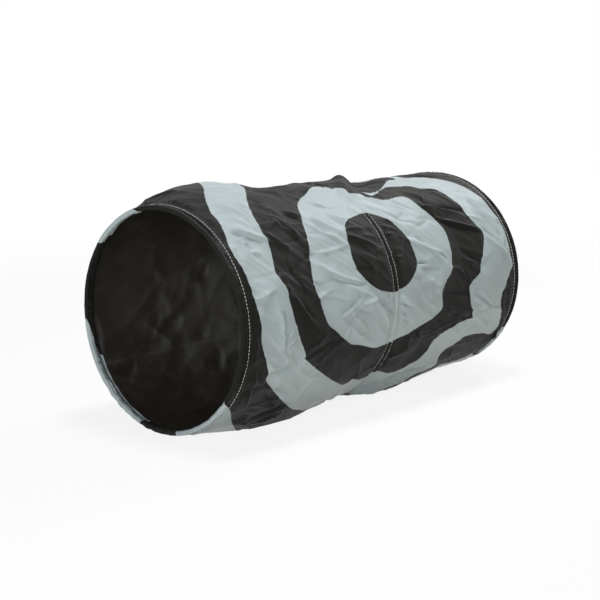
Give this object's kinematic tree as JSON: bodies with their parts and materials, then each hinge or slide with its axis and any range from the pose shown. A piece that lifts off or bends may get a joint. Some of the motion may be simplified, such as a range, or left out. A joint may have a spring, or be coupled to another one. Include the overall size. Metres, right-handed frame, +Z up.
{
  "type": "cat tunnel",
  "caption": "Open-ended cat play tunnel: a sleeve of thin printed cloth on spring-steel hoops that fold together along its length.",
  "frame": {"origin": "on the floor, under the middle of the open tunnel", "axes": "+Y runs along the tunnel from the front mouth to the rear one, +Z is up, +X is the side that the picture shows"},
  "size_m": [0.2548, 0.5, 0.2646],
  "materials": {
    "printed_cloth": "satin",
    "black_cloth": "satin",
    "spring_wire": "satin",
    "crimp_steel": "gloss"
  },
  "bodies": {
    "sleeve": {"front_cover": "printed_cloth", "rear_cover": "printed_cloth", "middle_channel": "black_cloth", "middle_hoop": "spring_wire", "middle_crimp": "crimp_steel"},
    "front_end": {"front_hem": "black_cloth", "front_hoop": "spring_wire", "front_crimp": "crimp_steel"},
    "rear_end": {"rear_hem": "black_cloth", "rear_hoop": "spring_wire", "rear_crimp": "crimp_steel"}
  },
  "joints": [
    {"name": "front_fold", "type": "slide", "parent": "sleeve", "child": "front_end", "axis": [0, 1, 0], "range_m": [0, 0.229], "deforming": ["front_cover"]},
    {"name": "rear_fold", "type": "slide", "parent": "sleeve", "child": "rear_end", "axis": [0, -1, 0], "range_m": [0, 0.229], "deforming": ["rear_cover"]}
  ]
}
